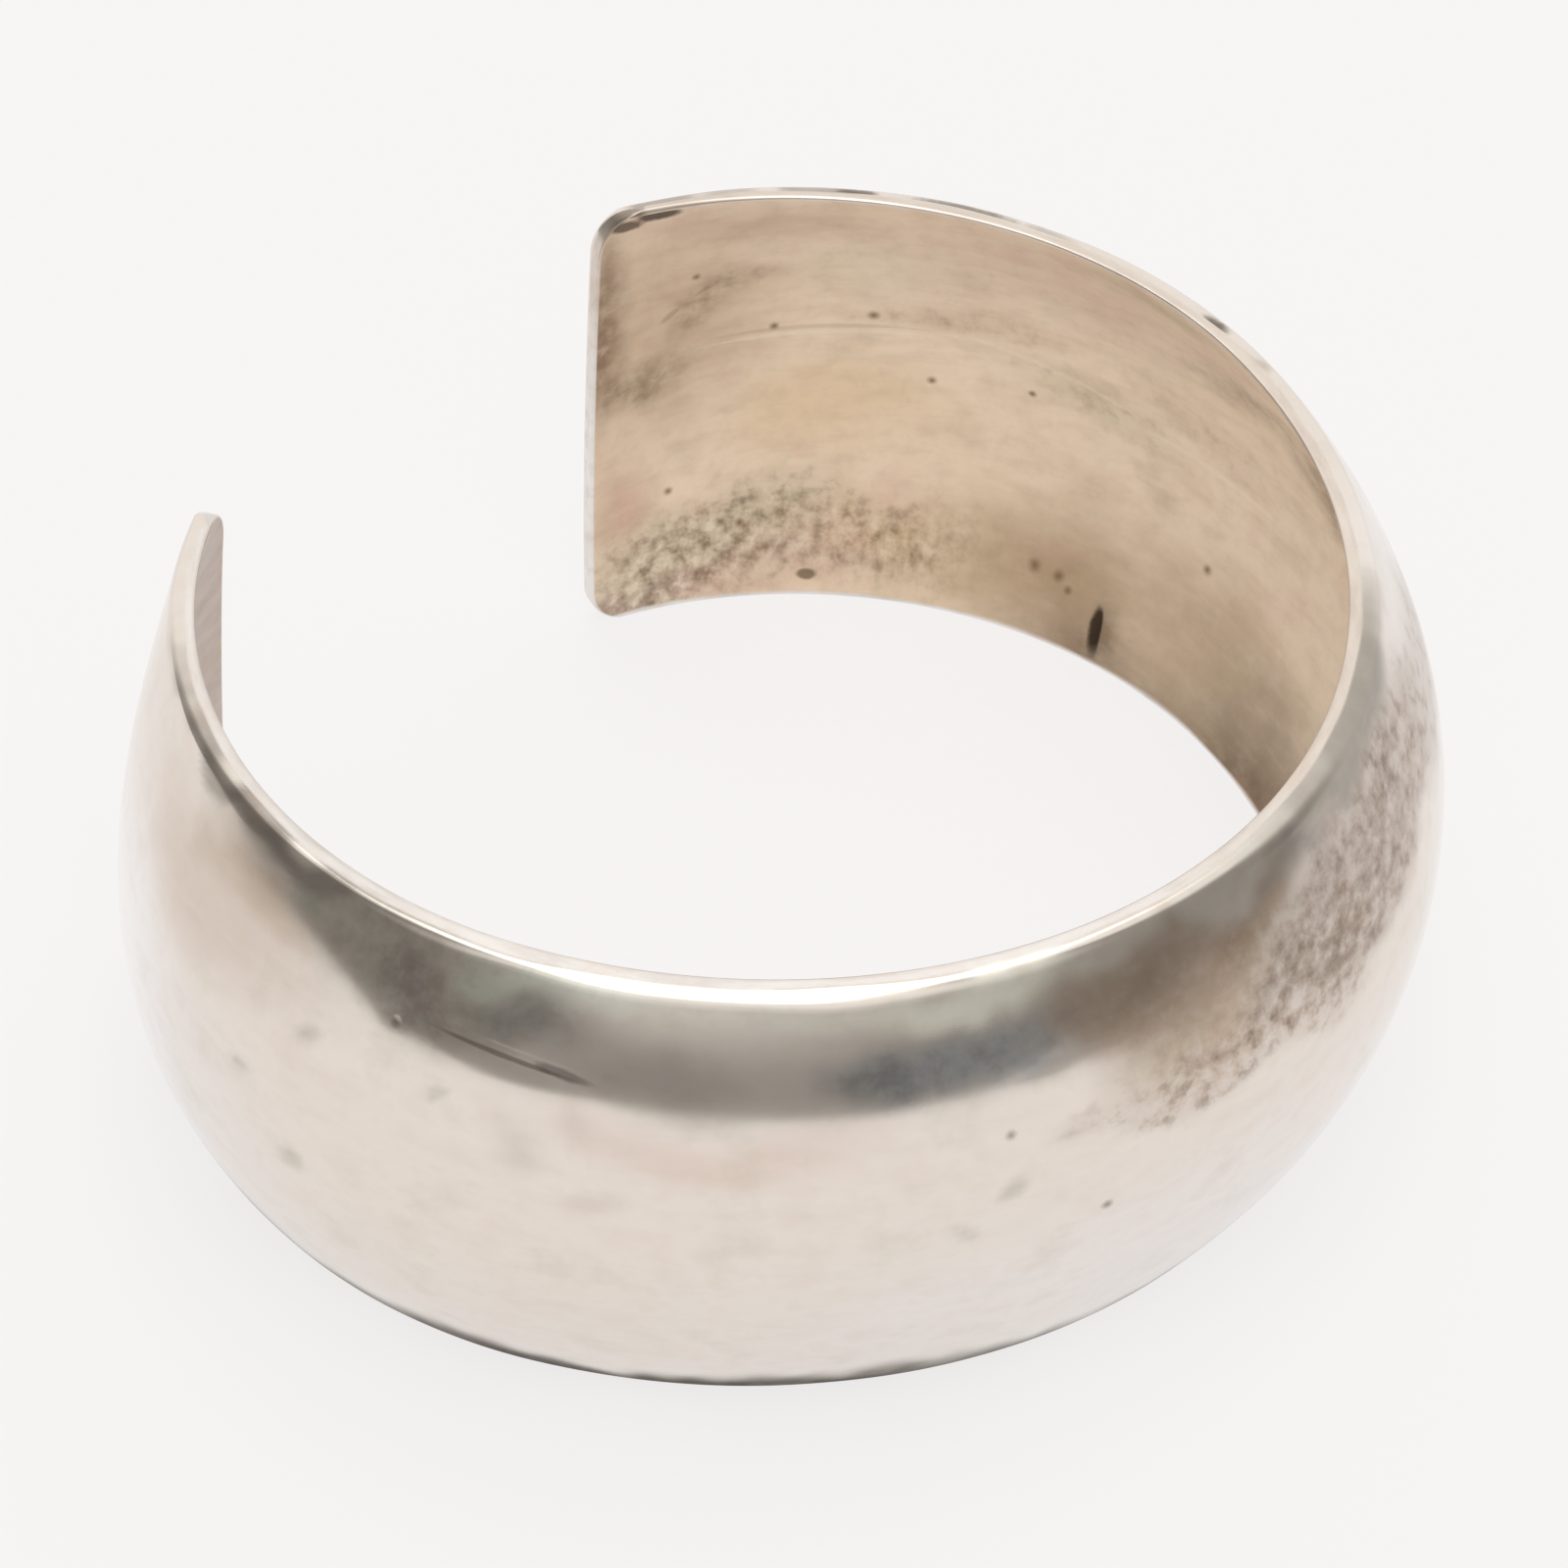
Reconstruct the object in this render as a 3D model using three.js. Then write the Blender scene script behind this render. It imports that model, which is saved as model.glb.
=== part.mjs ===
// A domed silver cuff bracelet, one piece of sheet metal.
// Millimetres, +Z up. The cuff lies on its lower rim, its open side faces +Y,
// and the origin is at the bottom centre of its bounding box.
import * as THREE from 'three';

// The band, measured along the outer edge of its rims
const bandHeight = 25.6;       // from rim to rim at the middle of the band
const endRise = 1.5;           // how much higher the upper rim lies at the two ends
const bandLength = 152.4;      // from end to end
const wall = 1.1;              // thickness of the sheet

// The oval that the band is bent to: three arcs on each side of its middle
const frontRadius = 28.9;
const frontLength = 25.4;      // the whole front arc, half of it on each side
const sideRadius = 31.7;
const sideLength = 25.4;
const endRadius = 25;          // this arc takes what is left of the band

// The dome across the band
const domeDepth = 4.4;         // how far the middle of the band stands out from its rims
const endDomeDepth = 0.4;      // what is left of that at the two ends
const flattenLength = 40;      // over this length the dome fades towards each end

// Corners and edges
const upperCornerRadius = 2.6;
const lowerCornerRadius = 2.1;
const rimSoftening = 0.45;     // set-back of the worn outer edge of each rim
const innerEasing = 0.2;       // small chamfer on the inner edge of each rim
const endSoftening = 0.3;      // set-back of the outer edge of the two ends

// Fineness of the faceted surface
const alongSteps = 72;
const softeningSteps = 2;      // across each softened edge
const cornerSteps = 3;         // up each rounded corner
const bodySteps = 9;           // between the corners

const halfLength = bandLength / 2;
const arcs = [
  { radius: frontRadius, length: frontLength / 2 },
  { radius: sideRadius, length: sideLength },
  { radius: endRadius, length: Infinity },
];

// A point of the rim's outer edge, s mm from the middle of the band, and the outward direction there
function rimPoint(s) {
  const side = Math.sign(s) || 1;
  let left = Math.abs(s);
  let x = 0, y = 0, heading = 0;
  for (const { radius, length } of arcs) {
    const turned = heading + Math.min(left, length) / radius;
    x += radius * (Math.sin(turned) - Math.sin(heading));
    y += radius * (Math.cos(heading) - Math.cos(turned));
    heading = turned;
    left -= length;
    if (left <= 0) break;
  }
  return { x: side * x, y, outX: side * Math.sin(heading), outY: -Math.cos(heading) };
}

// The cross section s mm from the middle: its height, the dome's depth and the slope of its rims
function sectionAt(s) {
  const height = bandHeight + endRise * (s / halfLength) ** 2;
  const fade = Math.max(0, (Math.abs(s) - halfLength + flattenLength) / flattenLength);
  const depth = domeDepth - (domeDepth - endDomeDepth) * Math.min(1, fade) ** 3;
  const lean = Math.atan(4 * depth / height);
  const round = rimSoftening / Math.tan((Math.PI / 2 - lean) / 2);
  return { height, depth, lean, round, zone: round * (1 - Math.sin(lean)) };
}

// Heights of the rows above the lower rim. They crowd where the edges and the corners turn
function rowHeight(row, section) {
  const rows = 2 * (softeningSteps + cornerSteps) + bodySteps;
  const upper = row > rows / 2;
  const step = upper ? rows - row : row;
  const corner = upper ? upperCornerRadius : lowerCornerRadius;
  const other = upper ? lowerCornerRadius : upperCornerRadius;
  let up;
  if (step <= softeningSteps) {
    const angle = Math.PI / 2 - (Math.PI / 2 - section.lean) * step / softeningSteps;
    up = section.round * (1 - Math.sin(angle));
  } else if (step <= softeningSteps + cornerSteps) {
    const start = Math.asin(1 - section.zone / corner);
    const angle = start * (1 - (step - softeningSteps) / cornerSteps);
    up = corner * (1 - Math.sin(angle));
  } else {
    const share = (step - softeningSteps - cornerSteps) / bodySteps;
    up = corner + (section.height - corner - other) * share;
  }
  return upper ? section.height - up : up;
}

// How far the rounded corner holds a row back from the end of the band
function cornerInset(z, height) {
  const upper = z > height / 2;
  const radius = upper ? upperCornerRadius : lowerCornerRadius;
  const into = radius - (upper ? height - z : z);
  return into > 0 ? radius - Math.sqrt(Math.max(0, radius ** 2 - into ** 2)) : 0;
}

// How far the outer or the inner face stands out from the rim's outer edge at height z
function faceOffset(z, section, outer, fromEnd) {
  const across = 2 * z / section.height - 1;
  const slope = 4 * section.depth * across / section.height;
  const dome = section.depth * (1 - across ** 2);
  const fromRim = Math.min(z, section.height - z);
  if (!outer) return dome - wall * Math.hypot(1, slope) + Math.max(0, innerEasing - fromRim);
  const edge = fromRim < section.zone
    ? Math.sqrt(section.round ** 2 - (section.round - fromRim) ** 2) - rimSoftening
    : dome;
  const near = Math.max(0, endSoftening - fromEnd);
  return edge - endSoftening + Math.sqrt(endSoftening ** 2 - near ** 2);
}

// Stations along the band, from -1 to 1, with two close pairs at the ends for the softened edge
function stationShare(x) {
  const steps = alongSteps / 2;
  const step = Math.round(Math.abs(x) * steps);
  const softened = step - (steps - softeningSteps);
  const plain = 1 - endSoftening / halfLength;
  if (softened <= 0) return Math.sign(x) * plain * step / (steps - softeningSteps);
  const angle = Math.PI / 2 * softened / softeningSteps;
  return Math.sign(x) * (plain + (1 - plain) * Math.sin(angle));
}

// A block of alongSteps by rows is trimmed to its corners, domed and bent to the oval
function cuffGeometry() {
  const rows = 2 * (softeningSteps + cornerSteps) + bodySteps;
  const geometry = new THREE.BoxGeometry(2, 1, 1, alongSteps, rows, 1);
  const position = geometry.attributes.position;
  for (let i = 0; i < position.count; i++) {
    const share = stationShare(position.getX(i));
    const row = Math.round((position.getY(i) + 0.5) * rows);
    const outer = position.getZ(i) > 0;
    const endSection = sectionAt(halfLength);
    const inset = cornerInset(rowHeight(row, endSection), endSection.height);
    const s = share * (halfLength - inset);
    const section = sectionAt(s);
    const z = rowHeight(row, section);
    const rim = rimPoint(s);
    const offset = faceOffset(z, section, outer, (1 - Math.abs(share)) * halfLength);
    position.setXYZ(i, rim.x + rim.outX * offset, rim.y + rim.outY * offset, z);
  }
  geometry.computeBoundingBox();
  const centre = geometry.boundingBox.getCenter(new THREE.Vector3());
  geometry.translate(-centre.x, -centre.y, 0);
  geometry.computeVertexNormals();
  return geometry;
}

const oldSilver = new THREE.MeshStandardMaterial({ color: 0xcfc8bd, roughness: 0.3, metalness: 1 });

const bracelet = new THREE.Group();
const cuff = new THREE.Mesh(cuffGeometry(), oldSilver);
cuff.name = 'cuff';
bracelet.add(cuff);

export default bracelet;
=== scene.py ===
from math import asin, atan, cos, hypot, pi, radians, sin, sqrt, tan

import bmesh
import bpy
from mathutils import Euler, Matrix, Vector, noise


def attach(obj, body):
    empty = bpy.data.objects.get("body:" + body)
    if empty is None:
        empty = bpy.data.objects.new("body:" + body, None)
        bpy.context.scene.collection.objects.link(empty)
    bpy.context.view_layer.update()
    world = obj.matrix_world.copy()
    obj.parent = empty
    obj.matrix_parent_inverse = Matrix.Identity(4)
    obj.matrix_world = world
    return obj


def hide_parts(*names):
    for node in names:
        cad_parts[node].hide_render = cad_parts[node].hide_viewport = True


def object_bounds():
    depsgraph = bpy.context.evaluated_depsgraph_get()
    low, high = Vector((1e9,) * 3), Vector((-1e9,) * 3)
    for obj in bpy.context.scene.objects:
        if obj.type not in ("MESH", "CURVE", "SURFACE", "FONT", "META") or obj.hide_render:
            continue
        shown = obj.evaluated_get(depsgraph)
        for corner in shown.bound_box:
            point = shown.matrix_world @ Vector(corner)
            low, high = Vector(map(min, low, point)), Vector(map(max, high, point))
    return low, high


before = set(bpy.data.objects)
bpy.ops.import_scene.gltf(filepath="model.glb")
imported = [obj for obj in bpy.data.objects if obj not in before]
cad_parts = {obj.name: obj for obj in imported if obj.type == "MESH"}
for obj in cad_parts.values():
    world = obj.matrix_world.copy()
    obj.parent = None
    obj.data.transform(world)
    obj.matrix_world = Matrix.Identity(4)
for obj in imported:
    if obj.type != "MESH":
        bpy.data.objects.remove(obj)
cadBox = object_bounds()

mm = 0.001
scene = bpy.context.scene
scene.view_settings.view_transform = "Standard"   # keeps the pale floor pale
print("frame loaded, the cuff is", [round(side / mm, 1) for side in cadBox[1] - cadBox[0]], "mm")


def hexColour(code):
    # sRGB hex to the linear colour that shaders use
    channels = [int(code[i:i + 2], 16) / 255 for i in (1, 3, 5)]
    linear = [c / 12.92 if c <= 0.04045 else ((c + 0.055) / 1.055) ** 2.4 for c in channels]
    return (*linear, 1)


def addNode(tree, kind, inputs=None, **settings):
    # one node, its settings, and its sockets: each a value or the socket that feeds it
    node = tree.nodes.new("ShaderNode" + kind)
    for name, value in settings.items():
        setattr(node, name, value)
    for name, value in (inputs or {}).items():
        if isinstance(value, bpy.types.NodeSocket):
            tree.links.new(value, node.inputs[name])
        else:
            node.inputs[name].default_value = value
    return node


# Camera, at the photograph's angle to the cuff
camera = {
    "azimuth": -52.5,             # degrees, 0 looks along +Y
    "elevation": 42.54,
    "roll": 2.46,
    "distance": 376.93,           # mm from the aim point
    "aim": (0.05, 3.47, 12.81),   # mm
    "lens": 176.4,                # mm on a 36 mm sensor
}


def makeCamera():
    data = bpy.data.cameras.new("photoCamera")
    data.lens = camera["lens"]
    data.sensor_width = 36
    data.clip_start = 0.01        # m
    turn = Euler((radians(90 - camera["elevation"]), 0, radians(camera["azimuth"]))).to_matrix()
    back = turn @ Vector((0, 0, 1))
    place = (Vector(camera["aim"]) + back * camera["distance"]) * mm
    cameraObject = bpy.data.objects.new("photoCamera", data)
    roll = Matrix.Rotation(radians(camera["roll"]), 3, "Z")
    cameraObject.matrix_world = Matrix.Translation(place) @ (turn @ roll).to_4x4()
    scene.collection.objects.link(cameraObject)
    scene.camera = cameraObject


makeCamera()
print("camera placed")

# A pale table, a bright studio, and the unlit room behind the camera that the polished band mirrors
studio = {
    "tableHalf": 12.0,            # m
    "tableGap": 0.01,             # mm below the rims, so that no faces coincide
    "tableColour": "#6a6866",
    "tableRoughness": 0.9,
    "tableGlowColour": "#f5f4f4",
    "tableGlow": 0.865,           # light of its own, which no shadow takes away
    "wallColour": "#fffdfa",
    "wallLight": 1.0,
    "roomColour": "#f6f2ec",
    "roomLight": 0.36,
    "roomTurn": -9,               # degrees from the camera's azimuth to the middle of the room
    "roomTop": (70, 84),          # degrees of elevation over which the room gives way to the ceiling
    "roomSides": (128, 106),      # and of azimuth, over which it gives way to the walls
    "boxHeight": 3.0,             # m
    "boxForward": 0.1,            # m, towards the camera
    "boxSize": (1.5, 4.4),        # m, across and along
    "boxPower": 28,               # W
    "spill": (48, 14),            # degrees over which the softbox's light on the ceiling grows
    "spillElevation": 56,
}


def makeTable():
    bm = bmesh.new()
    bmesh.ops.create_grid(bm, x_segments=1, y_segments=1, size=studio["tableHalf"])
    bmesh.ops.translate(bm, verts=bm.verts, vec=(0, 0, -studio["tableGap"] * mm))
    mesh = bpy.data.meshes.new("table")
    bm.to_mesh(mesh)
    bm.free()
    table = bpy.data.objects.new("table", mesh)
    scene.collection.objects.link(table)
    material = bpy.data.materials.new("paleTable")
    material.use_nodes = True
    shader = material.node_tree.nodes["Principled BSDF"]
    shader.inputs["Base Color"].default_value = hexColour(studio["tableColour"])
    shader.inputs["Roughness"].default_value = studio["tableRoughness"]
    shader.inputs["Specular IOR Level"].default_value = 0
    shader.inputs["Emission Color"].default_value = hexColour(studio["tableGlowColour"])
    shader.inputs["Emission Strength"].default_value = studio["tableGlow"]
    mesh.materials.append(material)


def makeStudio():
    world = bpy.data.worlds.new("studio")
    world.use_nodes = True
    scene.world = world
    tree = world.node_tree
    tree.nodes.clear()
    azimuth = radians(camera["azimuth"] + studio["roomTurn"])
    towardsRoom = (sin(azimuth), -cos(azimuth), 0)
    direction = addNode(tree, "TexCoord").outputs["Generated"]
    up = addNode(tree, "SeparateXYZ", {"Vector": direction}).outputs["Z"]
    level = addNode(tree, "VectorMath", {0: direction, 1: (1, 1, 0)},
                    operation="MULTIPLY").outputs["Vector"]
    level = addNode(tree, "VectorMath", {0: level}, operation="NORMALIZE").outputs["Vector"]
    side = addNode(tree, "VectorMath", {0: level, 1: towardsRoom},
                   operation="DOT_PRODUCT").outputs["Value"]
    low, high = (sin(radians(angle)) for angle in studio["roomTop"])
    below = addNode(tree, "MapRange", {"Value": up, "From Min": low, "From Max": high,
                                       "To Min": 1, "To Max": 0},
                    interpolation_type="SMOOTHSTEP").outputs["Result"]
    low, high = (cos(radians(angle)) for angle in studio["roomSides"])
    within = addNode(tree, "MapRange", {"Value": side, "From Min": low, "From Max": high},
                     interpolation_type="SMOOTHSTEP").outputs["Result"]
    room = addNode(tree, "Math", {0: below, 1: within}, operation="MULTIPLY").outputs["Value"]
    # less dark around the softbox, whose light spills over the ceiling
    spillHeight, turned = radians(studio["spillElevation"]), radians(camera["azimuth"])
    towardsSpill = (sin(turned) * cos(spillHeight), -cos(turned) * cos(spillHeight), sin(spillHeight))
    near = addNode(tree, "VectorMath", {0: direction, 1: towardsSpill},
                   operation="DOT_PRODUCT").outputs["Value"]
    wide, close = (cos(radians(angle)) for angle in studio["spill"])
    unlit = addNode(tree, "MapRange", {"Value": near, "From Min": wide, "From Max": close,
                                       "To Min": 1, "To Max": 0},
                    interpolation_type="SMOOTHSTEP").outputs["Result"]
    room = addNode(tree, "Math", {0: room, 1: unlit}, operation="MULTIPLY").outputs["Value"]
    wall = [c * studio["wallLight"] for c in hexColour(studio["wallColour"])]
    dark = [c * studio["roomLight"] for c in hexColour(studio["roomColour"])]
    colour = addNode(tree, "Mix", {"Factor": room, "A": wall, "B": dark},
                     data_type="RGBA").outputs["Result"]
    background = addNode(tree, "Background", {"Color": colour}).outputs["Background"]
    addNode(tree, "OutputWorld", {"Surface": background})

    light = bpy.data.lights.new("softbox", "AREA")
    light.shape = "RECTANGLE"
    light.size, light.size_y = studio["boxSize"]
    light.energy = studio["boxPower"]
    softbox = bpy.data.objects.new("softbox", light)
    softbox.location = (sin(turned) * studio["boxForward"], -cos(turned) * studio["boxForward"],
                        studio["boxHeight"])
    softbox.rotation_euler.z = turned
    scene.collection.objects.link(softbox)


makeTable()
makeStudio()
print("table and studio made")

# The cuff, in mm, with the same sizes as its solid
cuff = {
    "bandHeight": 25.6,           # from rim to rim at the middle of the band
    "endRise": 1.5,               # how much higher the upper rim lies at the two ends
    "bandLength": 152.4,          # along the outer edge of the rims
    "wall": 1.1,                  # thickness of the sheet
    "arcs": ((28.9, 12.7), (31.7, 25.4), (25, 100)),   # radius and length of each arc from the middle on
    "domeDepth": 4.4,             # how far the middle of the band stands out from its rims
    "endDomeDepth": 0.4,
    "flattenLength": 40,          # over this length the dome fades towards each end
    "upperCorner": 2.6,           # radii of the corners at the ends
    "lowerCorner": 2.1,
    "rimSoftening": 0.55,         # set-back of the outer edge of each rim, worn rounder than on the solid
    "rimWear": (5, 0.3),          # span and share of the unevenness of that wear
    "crisperRim": (-41, 18, 0.4),   # where the rims are worn less: place, reach, and how much less
    "innerEasing": 0.2,
    "easedRows": 3,               # rows of the inner face that shine like the rims
    "endSoftening": 0.3,
    "stations": 390,              # steps along the band
    "softeningSteps": 5,
    "cornerSteps": 8,
    "bodySteps": 52,
    "wallSteps": 4,
    "hammered": ((11, 0.035), (4.5, 0.012)),   # span and height of the unevenness left by the planishing
    "evenRim": 2,                 # over this distance from a rim, that unevenness fades
    "gouge": {"from": (47.75, 2.5), "to": (47.25, 0.5), "width": 0.7, "depth": 0.35},
    # shallow dents in the outside: place, half length and half width, turn in degrees, and depth
    "dents": (((-37.3, 22.1), (4.6, 0.8), -7, 0.03), ((-42.3, 22.5), (1.3, 1.0), 0, 0.03),
              ((-33.2, 19.4), (1.6, 1.2), 0, 0.02), ((-13, 21.6), (3.5, 1), 12, 0.02),
              ((-48.5, 20.6), (6.5, 4), -8, 0.12)),
}
halfLength = cuff["bandLength"] / 2
rows = 2 * (cuff["softeningSteps"] + cuff["cornerSteps"]) + cuff["bodySteps"]


def rimPoint(s):
    # a point of the rim's outer edge, s mm from the middle of the band, and the outward direction there
    side = -1 if s < 0 else 1
    left, x, y, heading = abs(s), 0, 0, 0
    for radius, length in cuff["arcs"]:
        turned = heading + min(left, length) / radius
        x += radius * (sin(turned) - sin(heading))
        y += radius * (cos(heading) - cos(turned))
        heading = turned
        left = max(0, left - length)
    return Vector((side * x, y, 0)), Vector((side * sin(heading), -cos(heading), 0))


def easeIn(share):
    share = min(1, max(0, share))
    return share * share * (3 - 2 * share)


def sectionAt(s):
    # the cross section s mm from the middle: its height, the dome's depth and the slope of its rims
    height = cuff["bandHeight"] + cuff["endRise"] * (s / halfLength) ** 2
    fade = min(1, max(0, (abs(s) - halfLength + cuff["flattenLength"]) / cuff["flattenLength"]))
    depth = cuff["domeDepth"] - (cuff["domeDepth"] - cuff["endDomeDepth"]) * fade ** 3
    lean = atan(4 * depth / height)
    span, share = cuff["rimWear"]
    place, reach, less = cuff["crisperRim"]
    wear = 1 + share * noise.noise(Vector((s / span, 7, 3))) - less * easeIn(1 - abs(s - place) / reach)
    setBack = cuff["rimSoftening"] * wear
    rounding = setBack / tan((pi / 2 - lean) / 2)
    return {"height": height, "depth": depth, "lean": lean, "setBack": setBack, "rounding": rounding,
            "zone": rounding * (1 - sin(lean))}


def rowHeight(row, section):
    # rows crowd where the edges and the corners turn
    upper = row > rows / 2
    step = rows - row if upper else row
    corner, other = cuff["lowerCorner"], cuff["upperCorner"]
    if upper:
        corner, other = other, corner
    softening, turning = cuff["softeningSteps"], cuff["cornerSteps"]
    if step <= softening:
        angle = pi / 2 - (pi / 2 - section["lean"]) * step / softening
        rise = section["rounding"] * (1 - sin(angle))
    elif step <= softening + turning:
        start = asin(1 - section["zone"] / corner)
        rise = corner * (1 - sin(start * (1 - (step - softening) / turning)))
    else:
        share = (step - softening - turning) / cuff["bodySteps"]
        rise = corner + (section["height"] - corner - other) * share
    return section["height"] - rise if upper else rise


def cornerInset(z, height):
    # how far the rounded corner holds a row back from the end of the band
    upper = z > height / 2
    radius = cuff["upperCorner"] if upper else cuff["lowerCorner"]
    into = max(0, radius - (height - z if upper else z))
    return radius - sqrt(max(0, radius ** 2 - into ** 2))


def stationShare(step):
    # -1 to 1 along the band, closer together across the softened edge of each end
    half, softening = cuff["stations"] / 2, cuff["softeningSteps"]
    side = -1 if step < half else 1
    away = abs(step - half)
    plain = 1 - cuff["endSoftening"] / halfLength
    if away <= half - softening:
        return side * plain * away / (half - softening)
    return side * (plain + (1 - plain) * sin(pi / 2 * (away - half + softening) / softening))


def easedBack(radius, away):
    # how far a rounded edge stands back, away mm from it
    near = max(0, radius - away)
    return radius - sqrt(radius ** 2 - near ** 2)


def gougeDepth(s, z):
    gouge = cuff["gouge"]
    start, end, point = Vector(gouge["from"]), Vector(gouge["to"]), Vector((s, z))
    share = min(1, max(0, (point - start).dot(end - start) / (end - start).length_squared))
    away = (point - start.lerp(end, share)).length / (gouge["width"] / 2)
    return gouge["depth"] * max(0, 1 - away ** 2) ** 2


def dentDepth(s, z):
    depth = 0
    for place, reach, turn, deepest in cuff["dents"]:
        offset = Vector((s, z)) - Vector(place)
        offset.rotate(Matrix.Rotation(-radians(turn), 2))
        depth += deepest * max(0, 1 - (offset.x / reach[0]) ** 2 - (offset.y / reach[1]) ** 2) ** 2
    return depth


def faceOffset(s, z, section, outer, fromEnd):
    # how far the outer or the inner face stands out from the rim's outer edge
    across = 2 * z / section["height"] - 1
    slope = 4 * section["depth"] * across / section["height"]
    dome = section["depth"] * (1 - across ** 2)
    fromRim = max(0, min(z, section["height"] - z))
    uneven = sum(height * noise.noise(Vector((s, z, 0)) / span) for span, height in cuff["hammered"])
    uneven *= min(1, fromRim / cuff["evenRim"])
    if not outer:
        face = dome - cuff["wall"] * hypot(1, slope) + uneven
        easing = easedBack(cuff["innerEasing"], fromRim) + easedBack(cuff["innerEasing"], fromEnd)
        return face + min(easing, cuff["innerEasing"]) + gougeDepth(s, z)
    if fromRim < section["zone"]:
        away = section["rounding"] - fromRim
        dome = sqrt(section["rounding"] ** 2 - away ** 2) - section["setBack"]
    return dome + uneven - dentDepth(s, z) - easedBack(cuff["endSoftening"], fromEnd)


def makeCuffMesh():
    bm = bmesh.new()
    # a flat blank of the sheet, given its thickness
    bmesh.ops.create_grid(bm, x_segments=cuff["stations"], y_segments=rows, size=1)
    bmesh.ops.solidify(bm, geom=bm.faces[:], thickness=1)
    walls = [edge for edge in bm.edges if abs(edge.verts[0].co.z - edge.verts[1].co.z) > 0.5]
    bmesh.ops.subdivide_edges(bm, edges=walls, cuts=cuff["wallSteps"] - 1, use_grid_fill=True)
    bm.normal_update()
    for face in bm.faces:
        face.material_index = 0 if face.normal.z > 0.5 else 1 if face.normal.z < -0.5 else 2
        face.smooth = True
    # trimmed to its corners, domed and bent to the oval
    sheet = bm.verts.layers.float_vector.new("sheet")
    # the clouds' tint and roughness, tarnish and painted shade among them
    wear = bm.verts.layers.float_color.new("wear")
    flecking = bm.verts.layers.float.new("flecking")
    endSection = sectionAt(halfLength)
    onEdge = set()
    for vert in bm.verts:
        share = stationShare(round((vert.co.x + 1) / 2 * cuff["stations"]))
        row = round((vert.co.y + 1) / 2 * rows)
        inward = -vert.co.z
        inset = cornerInset(rowHeight(row, endSection), endSection["height"])
        s = share * (halfLength - inset)
        section = sectionAt(s)
        z = rowHeight(row, section)
        fromEnd = (1 - abs(share)) * halfLength
        outer = faceOffset(s, z, section, True, fromEnd)
        inner = faceOffset(s, z, section, False, fromEnd)
        rim, outward = rimPoint(s)
        vert.co = rim + outward * (outer + (inner - outer) * inward) + Vector((0, 0, z))
        vert[sheet] = (s, z, inward)
        eased = min(row, rows - row) <= cuff["easedRows"] or fromEnd < cuff["innerEasing"]
        look = outside if inward < 0.1 else onRims if inward < 0.9 or eased else inside
        if look is onRims:
            onEdge.add(vert)
        vert[wear], vert[flecking] = tarnishAndPaintedShadeAt(look, s, z)
    for face in bm.faces:
        if all(vert in onEdge for vert in face.verts):
            face.material_index = 2
    # and set where its solid stands
    low, high = (Vector([pick(vert.co[axis] for vert in bm.verts) for axis in range(3)])
                 for pick in (min, max))
    middle = (cadBox[0] + cadBox[1]) / 2
    bmesh.ops.scale(bm, verts=bm.verts, vec=(mm, mm, mm))
    shift = middle - (low + high) / 2 * mm
    bmesh.ops.translate(bm, verts=bm.verts, vec=(shift.x, shift.y, 0))
    mesh = bpy.data.meshes.new("domedCuff")
    bm.to_mesh(mesh)
    bm.free()
    return mesh
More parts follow.
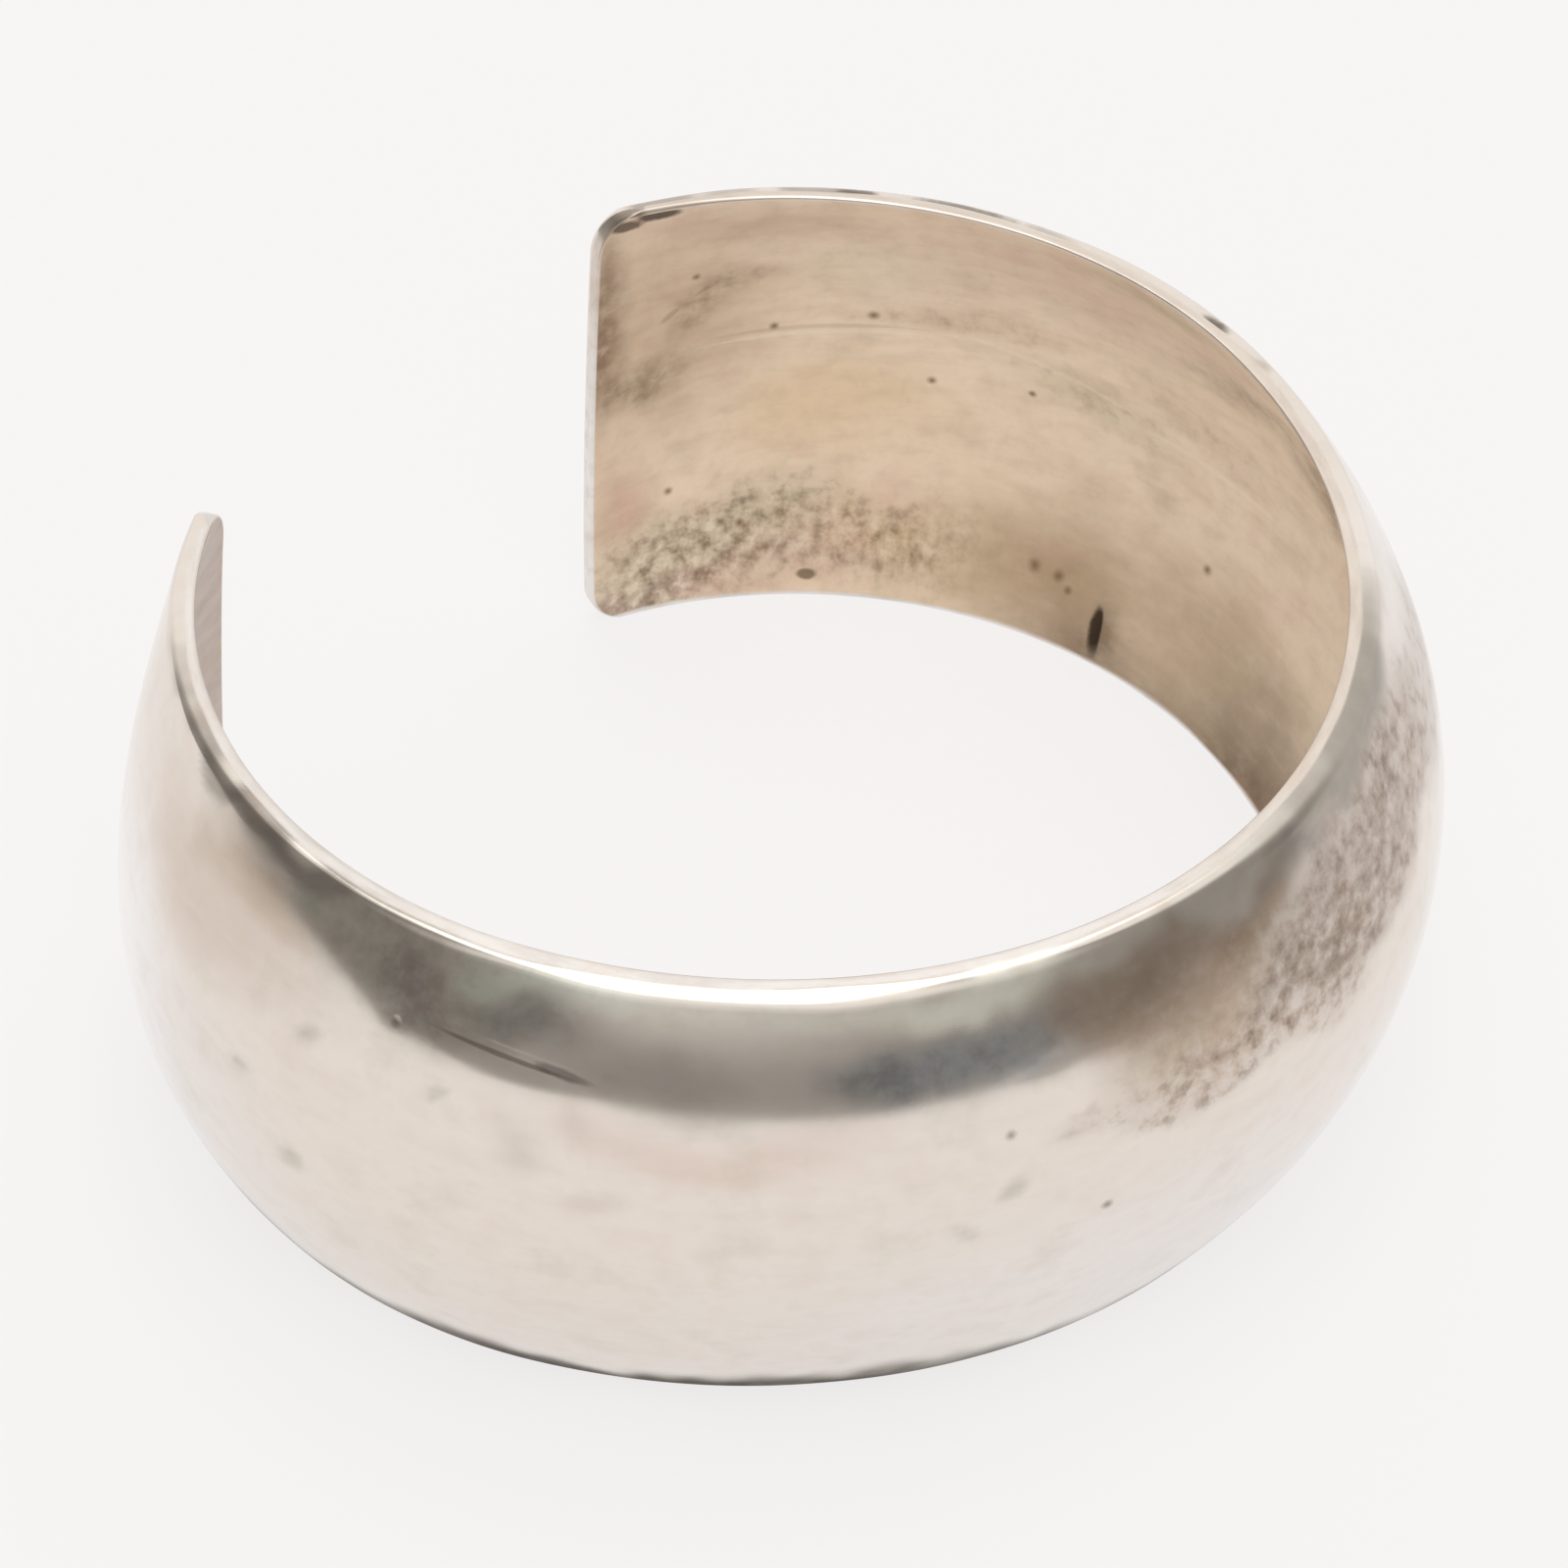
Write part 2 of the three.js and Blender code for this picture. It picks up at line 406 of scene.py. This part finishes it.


# The outside: sterling silver, hand polished and worn for years. It mirrors the table and the dark room
# softly, and the brown and blue-grey clouds are tarnish that the polishing left. The dark clouds along the
# lower rim and on the upper rim's rounded edge are painted shade. A cloud has its place and reach in mm,
# along the band from its middle and up from its lower rim, and its turn in degrees. It fades over its
# whole reach, or over the share of it that soft gives
outside = {
    "silver": "#e9e0d7",
    "roughness": 0.08,
    "flecking": 0,
    "drift": ((5, 1.2), (1.4, 0.5)),   # span of the wobble in the clouds' edges, and its reach, mm
    "clouds": (
        dict(at=(-8, 8), reach=(26, 9), strength=0.6, colour="#ece8e8"),
        dict(at=(-58, 10), reach=(14, 13), strength=0.7, colour="#ebe7e7"),
        dict(at=(-61, 14), reach=(8, 12), strength=0.8, soft=0.9, colour="#f8f6f6"),
        dict(at=(20, 9), reach=(16, 10), strength=0.6, colour="#ece6e2"),
        dict(at=(22, 20), reach=(13, 10), strength=0.7, colour="#f4f0ee"),
        dict(at=(-53.5, 22), reach=(11, 4.6), strength=0.8, soft=0.8, colour="#d9cabe", roughness=0.2),
        dict(at=(-50.5, 24), reach=(7, 2), turn=-6, strength=0.6, soft=0.9, colour="#bba791",
             roughness=0.2),
        dict(at=(-52.5, 26), reach=(5, 1.2), strength=0.4, colour="#8d7d6c"),
        dict(at=(-28, 18.9), reach=(9, 2), strength=0.5, soft=0.9, colour="#dec5b8"),
        dict(at=(-36.4, 17.8), reach=(2, 1.4), strength=0.35, colour="#bfb0a7"),
        dict(at=(-33.2, 19.4), reach=(1.8, 1.2), strength=0.35, colour="#c4b3a8"),
        dict(at=(-33.2, 15.6), reach=(1.6, 1.1), strength=0.3, colour="#c4b3a8"),
        dict(at=(-46.2, 12.3), reach=(1.3, 0.9), strength=0.5, colour="#a99e93"),
        dict(at=(-46.2, 19.7), reach=(0.9, 0.7), strength=0.5, colour="#a49c90"),
        dict(at=(-49, 15.3), reach=(0.9, 0.7), strength=0.45, colour="#a49c90"),
        dict(at=(-39.6, 20), reach=(0.9, 0.6), strength=0.5, colour="#a49c90"),
        dict(at=(-15.2, 16.2), reach=(0.9, 0.7), strength=0.45, colour="#a49c90"),
        dict(at=(-12.7, 17.9), reach=(0.9, 0.7), strength=0.4, colour="#a49c90"),
        dict(at=(-17.1, 14), reach=(1.1, 0.8), strength=0.35, colour="#a49c90"),
        # the band that mirrors the room
        dict(at=(-41, 24.2), reach=(9.5, 3), turn=-4, strength=0.85, soft=0.6, colour="#bab4a9",
             roughness=0.1, flecking=0.25),
        dict(at=(-41.5, 24), reach=(2.8, 2.3), turn=-20, strength=0.6, soft=0.9, colour="#958a82",
             flecking=0.3),
        dict(at=(-47.5, 25.3), reach=(2.8, 1.1), strength=0.5, soft=0.9, colour="#a6a99b"),
        dict(at=(-36.2, 23.6), reach=(3, 1.7), turn=-6, strength=0.5, colour="#989a9b", roughness=0.08),
        dict(at=(-30, 21.8), reach=(4, 1.6), strength=0.4, soft=0.9, colour="#c0b6ae", flecking=0.15),
        dict(at=(-38, 25.3), reach=(3.6, 1.1), turn=-4, strength=0.8, soft=0.9, colour="#e6e8dc",
             roughness=0.1, flecking=0.15),
        dict(at=(-33.8, 25.1), reach=(4, 1.2), strength=0.8, soft=0.9, colour="#f0f2e8", roughness=0.14,
             flecking=0.1),
        dict(at=(-27, 25.2), reach=(7, 1.2), strength=0.7, soft=0.8, colour="#e6e2d8", roughness=0.24,
             flecking=0),
        dict(at=(-17, 22.5), reach=(8.5, 2), turn=5, strength=0.9, soft=0.8, colour="#bcc0c3",
             roughness=0.08, flecking=0.3),
        dict(at=(-21.4, 21.6), reach=(3.2, 2), strength=0.75, colour="#8d939b", flecking=0.4),
        dict(at=(-16, 25), reach=(9.5, 1.7), strength=0.9, soft=0.8, colour="#f2f0e3", roughness=0.36,
             flecking=0),
        # brown tarnish, a tan one below it, and the mottled, pitted ground at its right
        dict(at=(-3.5, 20.2), reach=(9, 3.8), strength=0.85, soft=0.55, colour="#c0ab93", roughness=0.36,
             flecking=0.3),
        dict(at=(-8, 23), reach=(7, 3), turn=-8, strength=0.9, soft=0.5, colour="#b3a08e", roughness=0.2,
             flecking=0.1),
        dict(at=(-8.5, 22.6), reach=(3.6, 2.2), turn=-20, strength=0.4, soft=0.9, colour="#927e6b",
             roughness=0.2),
        dict(at=(-2, 23.1), reach=(5, 1.6), turn=12, strength=0.75, soft=0.8, colour="#967f6a",
             roughness=0.25),
        dict(at=(7, 20.8), reach=(12, 4.4), turn=8, strength=0.9, soft=0.35, colour="#bfb0a5",
             roughness=0.4, flecking=0.7),
        dict(at=(4, 19.4), reach=(3.6, 2.8), strength=0.6, soft=0.9, colour="#a3907f", roughness=0.42,
             flecking=0.7),
        dict(at=(10.5, 22), reach=(3.2, 1.8), strength=0.5, soft=0.9, colour="#a5968a", roughness=0.42,
             flecking=0.8),
        dict(at=(18, 20.8), reach=(10, 3.8), turn=2, strength=0.7, soft=0.6, colour="#cfc4bc",
             roughness=0.38, flecking=0.5),
        dict(at=(-5, 18), reach=(9, 2), turn=-3, strength=0.6, soft=0.5, colour="#cbbbae", flecking=1),
        dict(at=(1, 16.8), reach=(5, 1.8), turn=-8, strength=0.45, soft=0.6, colour="#cbbbae",
             flecking=1),
        # along the upper rim at both sides. The darker clouds at -57, -48, 2.5, 11 and 13 mm along are
        # painted shade: they darken what the rim's rounded edge mirrors
        dict(at=(11, 25.7), reach=(14, 1.8), turn=3, strength=0.9, soft=0.7, colour="#a49e94",
             roughness=0.18, flecking=0),
        dict(at=(13, 25), reach=(8, 1.5), turn=4, strength=0.4, colour="#8f8980", roughness=0.16),
        dict(at=(-2, 24.9), reach=(6, 0.8), strength=0.7, colour="#d6d2c8", roughness=0.16),
        dict(at=(2.5, 24.1), reach=(8, 0.8), turn=5, strength=0.6, colour="#857e78", roughness=0.16),
        dict(at=(-57, 26.2), reach=(11, 0.8), strength=0.6, soft=0.8, colour="#7a7168", roughness=0.15),
        dict(at=(-48, 26.1), reach=(8, 0.9), strength=0.75, soft=0.8, colour="#8b857c", roughness=0.15),
        dict(at=(57, 27), reach=(40, 0.6), strength=0.8, soft=0.6, colour="#aaa097"),
        # painted shade along the lower rim: dark clouds that stand in for the table's contact shadow
        # mirrored in the lower dome, darkest at the middle and rising slantwise at both sides
        dict(at=(-28, -0.2), reach=(30, 3.6), strength=0.95, soft=0.65, colour="#43382f", roughness=0.6),
        dict(at=(30, -0.5), reach=(50, 2.4), strength=0.75, colour="#665a51", roughness=0.5),
        dict(at=(-60, -0.5), reach=(18, 2.4), strength=0.75, colour="#665a51", roughness=0.5),
        dict(at=(-56, -0.5), reach=(19, 7), strength=0.45, colour="#85796d", roughness=0.5),
        dict(at=(3, -0.5), reach=(19, 7), strength=0.45, colour="#85796d", roughness=0.5),
        dict(at=(-50.5, 0.8), reach=(9, 2.6), turn=-14, strength=0.5, colour="#62574c", roughness=0.6),
        dict(at=(-3, 0.8), reach=(9, 2.6), turn=13, strength=0.5, colour="#62574c", roughness=0.6),
    ),
    "streaks": (   # narrow marks, with a crisp and ragged edge
        # a scratch across the band: the two dark streaks are its painted shadow, the pale one a painted
        # highlight along its edge
        dict(at=(-37.4, 22.15), reach=(4, 0.16), turn=-7, strength=0.6, colour="#75695c"),
        dict(at=(-34.6, 21.9), reach=(1.6, 0.3), turn=-10, strength=0.5, colour="#6d6257"),
        dict(at=(-36.2, 22.45), reach=(2.6, 0.1), turn=-7, strength=0.3, colour="#fff6ea"),
        dict(at=(62.1, 26.8), reach=(1.6, 0.5), strength=0.8, colour="#6a5c4e"),
        dict(at=(56.2, 26.7), reach=(4.2, 0.6), strength=0.75, colour="#74675a"),
        dict(at=(51.8, 26.55), reach=(2.2, 0.5), strength=0.35, colour="#7a6c5e"),
        dict(at=(41, 26.25), reach=(1.5, 0.5), strength=0.85, colour="#5e5146"),
    ),
    "pits": (   # along, up and radius, mm
        (-15.5, 18.6, 0.4), (-11.2, 13.0, 0.38), (-42.2, 22.1, 0.34),
    ),
    "pitColour": "#a0988c",
    "dark": "#8a7768",
    "light": "#e2d9d1",
    "mottling": (("#c6bdab", 0.26), ("#dcc4b8", 0.24), ("#b3a89a", 0.07), ("#f4f0ee", 0.1)),
    "metallic": 1.0,
}

# The inside: the same sheet with a tan patina that no polishing reached. It is duller than the outside,
# with brown and olive clouds, pits, and corroded flecks along the lower rim, and painted shade where it
# meets the table
inside = {
    "silver": "#f4e2cb",
    "roughness": 0.45,
    "flecking": 0.06,
    "drift": ((6, 1.5), (1.5, 0.5)),
    "clouds": (
        dict(at=(52, 22.5), reach=(26, 7), strength=0.65, colour="#dec8ba"),
        dict(at=(61, 21.6), reach=(7, 3.2), strength=0.6, colour="#eee2c9"),
        dict(at=(63, 10.5), reach=(7, 4.5), strength=0.5, colour="#e8ca9f"),
        dict(at=(71, 18), reach=(8, 10), strength=0.55, colour="#bc9f82"),
        dict(at=(68, 25.3), reach=(9, 2.4), strength=0.5, soft=0.9, colour="#c5a695"),
        dict(at=(76.2, 19), reach=(2.2, 9), strength=0.8, colour="#87664f", flecking=0.4),
        dict(at=(73.5, 15), reach=(4, 2.4), strength=0.6, soft=0.9, colour="#93805f", flecking=0.6),
        dict(at=(67.6, 20.2), reach=(3.8, 1.5), turn=10, strength=0.5, colour="#9b8966", flecking=0.6),
        dict(at=(70, 19), reach=(4, 1.5), turn=-32, strength=0.35, colour="#96795f", flecking=0.8),
        dict(at=(75, 7), reach=(4, 5), strength=0.6, colour="#cda08a"),
        dict(at=(69, 3.6), reach=(11, 4), turn=-5, strength=0.8, soft=0.8, colour="#bdb097",
             flecking=0.95),
        dict(at=(59, 3), reach=(6, 3.2), strength=0.65, soft=0.8, colour="#c1a987", flecking=0.95),
        dict(at=(73.5, 1.3), reach=(6, 2), strength=0.65, soft=0.9, colour="#a18880", flecking=0.8),
        dict(at=(66, 1.2), reach=(12, 2.2), strength=0.55, soft=0.9, colour="#b99c90", flecking=0.95),
        dict(at=(51, 3), reach=(8, 4.6), turn=6, strength=0.75, colour="#a98f6c"),
        dict(at=(42, 4), reach=(10, 5), turn=6, strength=0.5, colour="#b39a78"),
        # darkest where the inside meets the table: brown patina, with painted shade over it
        dict(at=(33, 0), reach=(11, 6.5), strength=0.95, colour="#5c4631"),
        dict(at=(45, -0.4), reach=(12, 3.6), strength=0.85, colour="#6f583e"),
        dict(at=(47.3, 1.2), reach=(1.5, 2.4), turn=-13, strength=0.5, colour="#6f583e"),
        dict(at=(34.5, 18.4), reach=(4.4, 3.6), strength=0.7, soft=0.8, colour="#9b8970", flecking=0.5),
        dict(at=(41, 20.4), reach=(7, 2), turn=-8, strength=0.45, colour="#a99880", flecking=0.6),
        dict(at=(46, 24.3), reach=(9, 1.2), turn=2, strength=0.5, colour="#b3a683"),
        dict(at=(50, 13.5), reach=(8, 2.4), turn=20, strength=0.45, colour="#c1b494", flecking=0.5),
        dict(at=(44, 15), reach=(7, 2), turn=25, strength=0.4, colour="#d0b3a0", flecking=0.4),
        dict(at=(58, 17), reach=(9, 1.2), strength=0.4, colour="#bda28a", flecking=0.6),
        dict(at=(50, 6.5), reach=(3, 3), strength=0.3, colour="#b7a283"),
        dict(at=(46.3, 9.2), reach=(1.4, 1.1), strength=0.35, soft=0.9, colour="#9c8866"),
        dict(at=(-70, 16), reach=(22, 22), strength=0.95, soft=0.6, colour="#cfc6c4"),
    ),
    "streaks": (
        dict(at=(64, 15.5), reach=(7, 0.2), turn=2, strength=0.3, colour="#fbf0de"),
        dict(at=(52.5, 14.6), reach=(6, 0.2), turn=14, strength=0.25, colour="#fbf0de"),
        dict(at=(43, 12.6), reach=(5, 0.22), turn=4, strength=0.25, colour="#fbf0de"),
        dict(at=(64, 15.9), reach=(6, 0.2), turn=2, strength=0.25, colour="#a58a70"),
        dict(at=(71.5, 18.7), reach=(0.8, 0.25), turn=-35, strength=0.35, colour="#8b7460"),
        dict(at=(69.5, 20.0), reach=(1.0, 0.22), turn=-30, strength=0.3, colour="#8b7460"),
        dict(at=(63.9, 1.1), reach=(0.7, 0.35), strength=0.75, colour="#5f4a30"),
        dict(at=(74.6, 26.25), reach=(1.2, 0.45), turn=4, strength=0.85, colour="#5a4738"),
        dict(at=(72.8, 26.55), reach=(1.6, 0.45), turn=4, strength=0.9, colour="#4a392c"),
        # painted shade in the hollow of the gouge
        dict(at=(47.5, 1.45), reach=(0.46, 1.4), turn=-13, strength=0.95, colour="#33240f"),
    ),
    "pits": (
        (51.8, 3.3, 0.55), (50.4, 3.2, 0.48), (49.7, 2.7, 0.36), (42.7, 7.1, 0.42), (61.1, 16.6, 0.45),
        (58.2, 12.3, 0.36), (65.9, 16.2, 0.36), (70.2, 21.0, 0.36), (71.4, 6.9, 0.36), (67.5, 4.1, 0.42),
        (53.4, 12.6, 0.32),
    ),
    "pitColour": "#8d7355",
    "dark": "#7d6853",
    "light": "#f3e6d2",
    "mottling": (("#c4b596", 0.3), ("#dcb9a8", 0.36), ("#a88f75", 0.18), ("#faf0de", 0.25)),
    "metallic": 0.4,
}

# The rims: filed level after the cuff was bent, and rubbed bright since
onRims = {
    "silver": "#e9e4e0",
    "roughness": 0.24,
    "flecking": 0,
    "drift": ((5, 1.2),),
    "clouds": (
        dict(at=(50, 26.5), reach=(62, 8), strength=0.85, soft=0.3, colour="#d8ccc0"),
        dict(at=(-62, 26.5), reach=(26, 8), strength=0.8, soft=0.6, colour="#d9d4cf"),
        dict(at=(75, 20), reach=(3, 8), strength=0.5, colour="#c3b0a0"),
    ),
    "streaks": (dict(at=(74.5, 26.6), reach=(1.2, 2), strength=0.6, colour="#6a5a4c"),),
    "pits": (),
    "pitColour": "#8d8175",
    "dark": "#9a8d80",
    "light": "#fffaf4",
    "mottling": (("#cbbfae", 0.3), ("#dcc8ba", 0.3), ("#a89a8c", 0.3), ("#fffaf4", 0.2)),
    "metallic": 1.0,
}

# The patterns that the three finishes share
patterns = {
    "cloudSize": 3.2,             # mm, from one patch of tarnish to the next
    "smearSize": 1.1,             # mm across the band
    "smearStretch": 0.3,          # that size over the one along the band
    "fleckSize": 0.95,            # mm, from one dark fleck to the next
    "relief": 0.012,              # mm, height of the flecks and depth of the pits
    "haze": 0.1,                  # how much rougher the thickest clouds are
}


def tarnishAndPaintedShadeAt(look, s, z):
    # the tint, roughness and flecking that the clouds give the metal here, each laid over those before it.
    # Among the tints is painted shade, along the rims
    place = Vector((s, z))
    for span, reach in look["drift"]:
        # two layers of the noise, one for each direction
        wobble = [noise.noise(Vector((s / span, z / span, layer))) for layer in (1.5, 8.5)]
        place += Vector(wobble) * reach
    tint, roughness, flecking = Vector(hexColour(look["silver"])[:3]), look["roughness"], look["flecking"]
    for cloud in look["clouds"]:
        offset = place - Vector(cloud["at"])
        offset.rotate(Matrix.Rotation(-radians(cloud.get("turn", 0)), 2))
        away = hypot(offset.x / cloud["reach"][0], offset.y / cloud["reach"][1])
        if away >= 1:
            continue
        mask = cloud["strength"] * easeIn((1 - away) / cloud.get("soft", 1))
        tint = tint.lerp(Vector(hexColour(cloud["colour"])[:3]), mask)
        roughness += (cloud.get("roughness", roughness) - roughness) * mask
        flecking += (cloud.get("flecking", flecking) - flecking) * mask
    return (*tint, roughness), flecking


def markMask(tree, sheet, grain, at, reach, turn=0, soft=0.5, ragged=0.3):
    # 1 within a small ellipse on the sheet, and 0 past its ragged edge. It goes through the whole sheet
    through = 1000
    placed = addNode(tree, "Mapping", {"Vector": sheet, "Location": (*at, 0), "Scale": (*reach, through),
                                       "Rotation": (0, 0, radians(turn))},
                     vector_type="TEXTURE").outputs["Vector"]
    away = addNode(tree, "VectorMath", {0: placed}, operation="LENGTH").outputs["Value"]
    edge = addNode(tree, "Math", {0: grain, 1: 2 * ragged, 2: away},
                   operation="MULTIPLY_ADD").outputs["Value"]
    return addNode(tree, "MapRange", {"Value": edge, "From Min": 1 + ragged - soft, "From Max": 1 + ragged,
                                      "To Min": 1, "To Max": 0},
                   interpolation_type="SMOOTHSTEP").outputs["Result"]


def mixColour(tree, factor, below, code):
    return addNode(tree, "Mix", {"Factor": factor, "A": below, "B": hexColour(code)},
                   data_type="RGBA").outputs["Result"]


def wornSilver(name, look):
    material = bpy.data.materials.new(name)
    material.use_nodes = True
    tree = material.node_tree
    shader = tree.nodes["Principled BSDF"]
    sheet = addNode(tree, "Attribute", attribute_name="sheet").outputs["Vector"]
    # the clouds' tint and roughness: tarnish, with painted shade along the rims
    wear = addNode(tree, "Attribute", attribute_name="wear").outputs
    flecking = addNode(tree, "Attribute", attribute_name="flecking").outputs["Fac"]
    colour, roughness = wear["Color"], wear["Alpha"]
    # cloudy tarnish in patches, greenish where it is thick and pinkish where it is thin, and finer smears
    # along the band, as a polishing cloth leaves them
    clouds = addNode(tree, "TexNoise", {"Vector": sheet, "Scale": 1 / patterns["cloudSize"], "Detail": 5,
                                        "Roughness": 0.6}).outputs["Fac"]
    along = addNode(tree, "Mapping", {"Vector": sheet,
                                      "Scale": (patterns["smearStretch"], 1, 1)}).outputs["Vector"]
    smears = addNode(tree, "TexNoise", {"Vector": along, "Scale": 1 / patterns["smearSize"], "Detail": 4,
                                        "Roughness": 0.6}).outputs["Fac"]
    # the pattern that each colour follows, where on it the colour begins and where it is full
    patches = ((clouds, 0.52, 0.72), (clouds, 0.48, 0.28), (smears, 0.5, 0.75), (smears, 0.5, 0.25))
    for (code, strength), (pattern, begins, full) in zip(look["mottling"], patches):
        mask = addNode(tree, "MapRange", {"Value": pattern, "From Min": begins, "From Max": full,
                                          "To Max": strength}).outputs["Result"]
        colour = mixColour(tree, mask, colour, code)
    # the corroded and mottled places: dark and light flecks
    grain = addNode(tree, "TexNoise", {"Vector": sheet, "Scale": 1 / patterns["fleckSize"], "Detail": 4,
                                       "Roughness": 0.6}).outputs["Fac"]
    for code, full in ((look["dark"], 0.68), (look["light"], 0.34)):
        mask = addNode(tree, "MapRange", {"Value": grain, "From Min": 0.5,
                                          "From Max": full}).outputs["Result"]
        mask = addNode(tree, "Math", {0: mask, 1: flecking}, operation="MULTIPLY").outputs["Value"]
        colour = mixColour(tree, mask, colour, code)
    # rubbed by cloths and sleeves for years: a little unevenly rough, so the mirrored edges are hazy
    roughness = addNode(tree, "Math", {0: clouds, 1: patterns["haze"], 2: roughness},
                        operation="MULTIPLY_ADD").outputs["Value"]
    for streak in look["streaks"]:
        mask = markMask(tree, sheet, grain, streak["at"], streak["reach"], streak.get("turn", 0))
        mask = addNode(tree, "Math", {0: mask, 1: streak["strength"]},
                       operation="MULTIPLY").outputs["Value"]
        colour = mixColour(tree, mask, colour, streak["colour"])
    height = addNode(tree, "Math", {0: grain, 1: flecking}, operation="MULTIPLY").outputs["Value"]
    for s, z, radius in look["pits"]:
        pit = markMask(tree, sheet, grain, (s, z), (radius, radius), soft=1.1)
        colour = mixColour(tree, pit, colour, look["pitColour"])
        height = addNode(tree, "Math", {0: pit, 1: -1, 2: height},
                         operation="MULTIPLY_ADD").outputs["Value"]
    normal = addNode(tree, "Bump", {"Height": height,
                                    "Distance": patterns["relief"] * mm}).outputs["Normal"]
    shader.inputs["Metallic"].default_value = look["metallic"]
    for socket, source in (("Base Color", colour), ("Roughness", roughness), ("Normal", normal)):
        tree.links.new(source, shader.inputs[socket])
    return material


def makeCuff():
    mesh = makeCuffMesh()
    for name, look in (("oldSilverHandPolished", outside), ("silverWithTanPatina", inside),
                       ("silverFiledAtTheRims", onRims)):
        mesh.materials.append(wornSilver(name, look))
    piece = bpy.data.objects.new("domedCuff", mesh)
    scene.collection.objects.link(piece)
    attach(piece, "root")
    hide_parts("cuff")
    print("cuff made,", len(mesh.polygons), "faces")


makeCuff()
